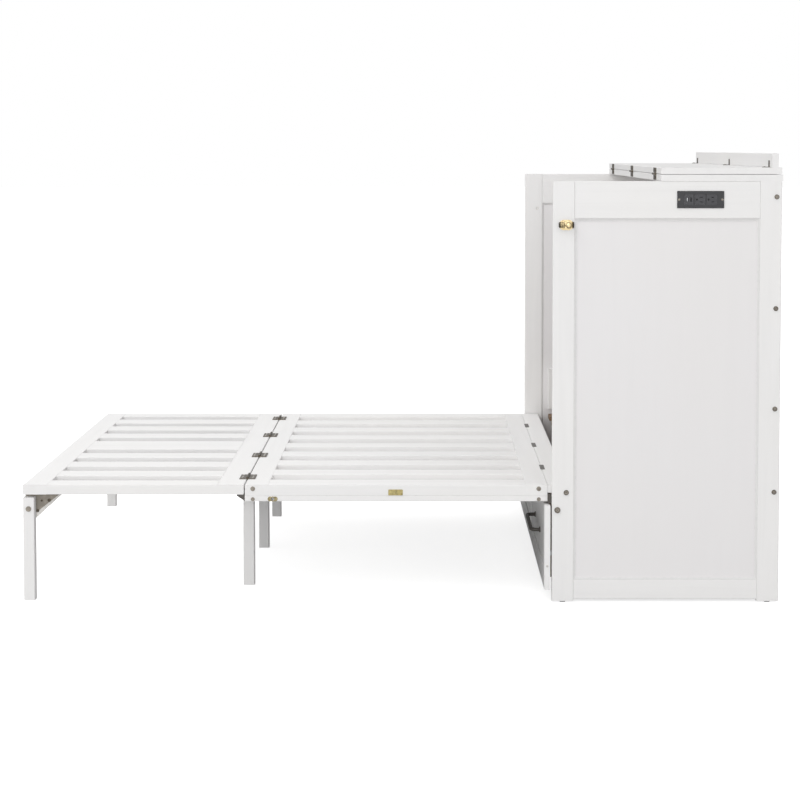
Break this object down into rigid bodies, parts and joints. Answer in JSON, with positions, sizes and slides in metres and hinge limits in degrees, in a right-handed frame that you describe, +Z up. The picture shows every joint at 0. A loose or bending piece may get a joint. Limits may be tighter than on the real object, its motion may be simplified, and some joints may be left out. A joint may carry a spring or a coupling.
{
  "type": "murphy wall bed",
  "caption": "Low cabinet bed, opened flat: bed middle pivoting in the chest, folding foot section and legs, fold-back lid, drawer below and an outlet in one side.",
  "frame": {"origin": "centre of the opened bed's bounding box on the floor", "axes": "+X from the foot of the bed to the back of the cabinet, +Y towards the left side of the cabinet as seen by a person who faces it from the foot end, +Z up"},
  "size_m": [2.087, 1.658, 1.236],
  "materials": {
    "white_paint": "painted satin white",
    "white_panel": "painted satin white",
    "brown_ply": "brown plywood",
    "black_plastic": "fine matt",
    "bolt_steel": "dull zinc",
    "dark_steel": "dark brown-grey paint",
    "brass": "satin",
    "bronze": "dark bronze plating"
  },
  "bodies": {
    "cabinet": {"right_side_stiles": "white_paint", "right_side_rails": "white_paint", "right_side_panel": "white_panel", "left_side_stiles": "white_paint", "left_side_rails": "white_paint", "left_side_panel": "white_panel", "glides": "black_plastic", "back_panel": "white_paint", "back_rails": "white_paint", "rear_top": "white_paint", "deck_beams": "brown_ply", "deck_slats": "brown_ply", "deck_ledgers": "brown_ply", "closing_stops": "white_paint", "drawer_runners": "dark_steel", "outlet_plate": "black_plastic", "outlet_sockets": "black_plastic", "outlet_box": "black_plastic", "outlet_screws": "bolt_steel", "pivot_bolts": "bolt_steel", "stop_bolts": "bolt_steel", "side_bolts": "bolt_steel", "latch_flanges": "brass", "lid_hinge_rear_leaves": "bronze"},
    "lid": {"lid_board": "white_paint", "lid_lip": "white_paint", "lid_brackets": "dark_steel", "lid_hinge_front_leaves": "bronze"},
    "drawer": {"drawer_front": "white_paint", "drawer_sides": "brown_ply", "drawer_back": "brown_ply", "drawer_bottom": "brown_ply", "drawer_pulls": "dark_steel", "drawer_slides": "bolt_steel"},
    "bed_middle": {"mid_side_rails": "white_paint", "mid_cross_boards": "white_paint", "bridge_board": "white_paint", "mid_slats": "white_paint", "front_panel": "white_paint", "pivot_brackets": "dark_steel", "bridge_brackets": "dark_steel", "strike_plates": "brass", "side_plates": "brass", "mid_bolts": "bolt_steel", "mid_hinge_leaves": "bronze", "mid_leg_brackets": "dark_steel", "fold_rests": "dark_steel"},
    "bed_foot": {"foot_cross_boards": "white_paint", "foot_side_rails": "white_paint", "foot_slats": "white_paint", "foot_hinge_leaves": "bronze", "foot_leg_brackets": "dark_steel"},
    "foot_leg_right": {"foot_leg_right": "white_paint"},
    "foot_leg_left": {"foot_leg_left": "white_paint"},
    "mid_leg_right": {"mid_leg_right": "white_paint"},
    "mid_leg_centre": {"mid_leg_centre": "white_paint"},
    "mid_leg_left": {"mid_leg_left": "white_paint"},
    "latch_right": {"latch_pin_right": "brass"},
    "latch_left": {"latch_pin_left": "brass"}
  },
  "joints": [
    {"name": "bed_lift", "type": "hinge", "parent": "cabinet", "child": "bed_middle", "pos_m": [0.4315, 0, 0.2558], "axis": [0, 1, 0], "range_deg": [0, 90]},
    {"name": "foot_fold", "type": "hinge", "parent": "bed_middle", "child": "bed_foot", "pos_m": [-0.43175, 0, 0.3255], "axis": [0, 1, 0], "range_deg": [0, 180]},
    {"name": "foot_leg_right_fold", "type": "hinge", "parent": "bed_foot", "child": "foot_leg_right", "pos_m": [-1.028, -0.7595, 0.255], "axis": [0, -1, 0], "range_deg": [0, 90]},
    {"name": "foot_leg_left_fold", "type": "hinge", "parent": "bed_foot", "child": "foot_leg_left", "pos_m": [-1.028, 0.7595, 0.255], "axis": [0, -1, 0], "range_deg": [0, 90]},
    {"name": "mid_leg_right_fold", "type": "hinge", "parent": "bed_middle", "child": "mid_leg_right", "pos_m": [-0.4365, -0.558, 0.256], "axis": [0, -1, 0], "range_deg": [0, 90]},
    {"name": "mid_leg_centre_fold", "type": "hinge", "parent": "bed_middle", "child": "mid_leg_centre", "pos_m": [-0.4365, 0, 0.256], "axis": [0, -1, 0], "range_deg": [0, 90]},
    {"name": "mid_leg_left_fold", "type": "hinge", "parent": "bed_middle", "child": "mid_leg_left", "pos_m": [-0.4365, 0.558, 0.256], "axis": [0, -1, 0], "range_deg": [0, 90]},
    {"name": "lid_turn", "type": "hinge", "parent": "cabinet", "child": "lid", "pos_m": [0.708, 0, 1.1788], "axis": [0, -1, 0], "range_deg": [0, 180]},
    {"name": "drawer_slide", "type": "slide", "parent": "cabinet", "child": "drawer", "axis": [-1, 0, 0], "range_m": [0, 0.4]},
    {"name": "latch_right_slide", "type": "slide", "parent": "cabinet", "child": "latch_right", "axis": [0, 1, 0], "range_m": [0, 0.014]},
    {"name": "latch_left_slide", "type": "slide", "parent": "cabinet", "child": "latch_left", "axis": [0, -1, 0], "range_m": [0, 0.014]}
  ]
}
